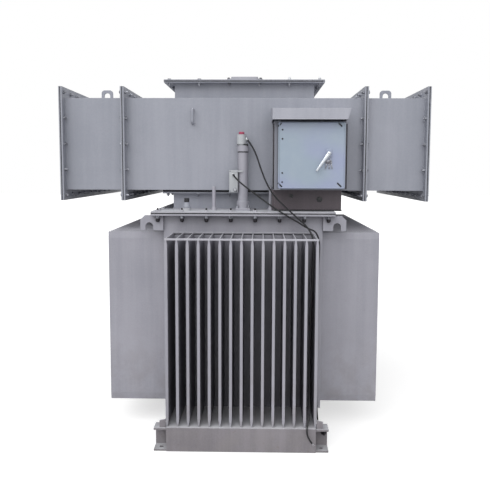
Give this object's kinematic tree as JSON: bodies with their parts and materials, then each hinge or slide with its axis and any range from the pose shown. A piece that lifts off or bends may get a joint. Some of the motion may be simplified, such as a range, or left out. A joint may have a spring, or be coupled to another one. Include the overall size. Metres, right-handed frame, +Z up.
{
  "type": "power transformer",
  "caption": "Oil-filled power transformer with a finned tank, a flanged terminal duct across the top, and a control box with a hinged door.",
  "frame": {"origin": "centre of the footprint, on the ground under the base channels", "axes": "+X to the right seen from the control box side, +Y towards the back along the tank, +Z up"},
  "size_m": [1.69, 2.0535, 1.629],
  "materials": {
    "base_paint": "satin grey machine paint with dust",
    "bright_metal": "polished chrome plate",
    "cable_sheath": "black rubber sheath",
    "dark_plastic": "matt black plastic",
    "door_paint": "satin light blue-grey enamel",
    "duct_paint": "satin grey machine paint, slightly bluish",
    "gasket": "matt black sheet rubber",
    "grey_plastic": "light grey plastic",
    "red_plastic": "red plastic cap",
    "tank_paint": "satin grey machine paint",
    "white_plastic": "off-white plastic"
  },
  "bodies": {
    "transformer": {"apron_back": "base_paint", "apron_front": "base_paint", "base_channel_back": "base_paint", "base_channel_front": "base_paint", "base_rails": "base_paint", "box_hood": "duct_paint", "box_plinth": "duct_paint", "breather_base": "white_plastic", "breather_cap": "dark_plastic", "cable_from_head": "cable_sheath", "cable_from_junction": "cable_sheath", "control_box": "duct_paint", "corrugated_wall_back": "tank_paint", "corrugated_wall_front": "tank_paint", "corrugated_wall_left": "tank_paint", "corrugated_wall_right": "tank_paint", "duct_cover_left": "duct_paint", "duct_cover_right": "duct_paint", "duct_gaskets": "gasket", "duct_left": "duct_paint", "duct_lifting_loops": "duct_paint", "duct_middle": "duct_paint", "duct_right": "duct_paint", "fin_bars": "tank_paint", "grab_handle": "duct_paint", "hand_hole_cover": "duct_paint", "junction_box": "grey_plastic", "lid": "tank_paint", "lid_gasket": "gasket", "lid_posts": "tank_paint", "neck": "duct_paint", "neck_gasket": "gasket", "plinth_gasket": "gasket", "riser_collar": "tank_paint", "riser_head": "tank_paint", "riser_head_plug": "red_plastic", "riser_pipe": "tank_paint", "tank_flange": "tank_paint", "tank_floor": "tank_paint", "tank_lifting_lugs": "tank_paint", "throat": "duct_paint", "throat_cover": "duct_paint", "throat_gasket": "gasket"},
    "box_door": {"control_box_door": "door_paint"},
    "door_handle": {"door_handle": "bright_metal"}
  },
  "joints": [
    {"name": "door_hinge", "type": "hinge", "parent": "transformer", "child": "box_door", "pos_m": [0.1585, -0.7975, 1.257], "axis": [0, 0, -1], "range_deg": [0, 110]},
    {"name": "handle_turn", "type": "hinge", "parent": "box_door", "child": "door_handle", "pos_m": [0.3745, -0.8025, 1.267], "axis": [0, 1, 0], "range_deg": [-35, 55]}
  ]
}
